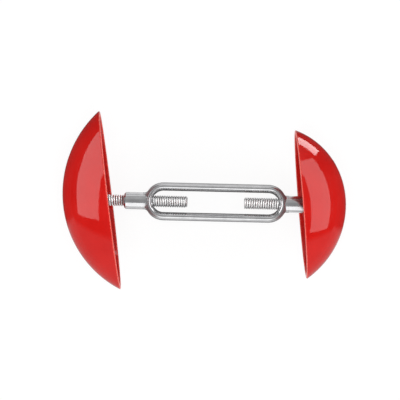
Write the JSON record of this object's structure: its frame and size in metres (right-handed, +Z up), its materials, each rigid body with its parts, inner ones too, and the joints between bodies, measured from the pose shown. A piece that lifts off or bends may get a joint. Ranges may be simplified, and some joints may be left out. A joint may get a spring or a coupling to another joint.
{
  "type": "shoe stretcher",
  "caption": "Small shoe stretcher: hollow red dome heads on opposite-hand screw rods, spread apart by turning a plated turnbuckle loop between them.",
  "frame": {"origin": "middle of the bounding box, on the surface that the stretcher lies on", "axes": "+X along the screw rods from the large head to the small head, +Y along the heads' long axes, +Z up"},
  "size_m": [0.1558, 0.0973, 0.0432],
  "materials": {
    "red_plastic": "moulded, high gloss",
    "plated_steel": "cast, polished and nickel plated",
    "bright_rod": "rolled thread, zinc plated",
    "zinc_steel": "zinc plated"
  },
  "bodies": {
    "large_end": {"large_head_shell": "red_plastic", "large_head_nut": "zinc_steel", "large_head_rod": "bright_rod"},
    "sleeves": {"large_side_sleeve": "plated_steel", "small_side_sleeve": "plated_steel"},
    "loop": {"turnbuckle_loop": "plated_steel"},
    "small_end": {"small_head_shell": "red_plastic", "small_head_nut": "zinc_steel", "small_head_rod": "bright_rod"}
  },
  "joints": [
    {"name": "loop_turn", "type": "hinge", "parent": "sleeves", "child": "loop", "pos_m": [0.00641, 0, 0.0216], "axis": [1, 0, 0], "range_deg": [-2520, 5400]},
    {"name": "sleeves_slide", "type": "slide", "parent": "large_end", "child": "sleeves", "axis": [1, 0, 0], "range_m": [-0.00889, 0.01905]},
    {"name": "small_end_slide", "type": "slide", "parent": "sleeves", "child": "small_end", "axis": [1, 0, 0], "range_m": [-0.00889, 0.01905]}
  ],
  "couplings": [
    {"joint": "sleeves_slide", "follows": "loop_turn", "m_per_rad": 0.00020213},
    {"joint": "small_end_slide", "follows": "loop_turn", "m_per_rad": 0.00020213}
  ]
}
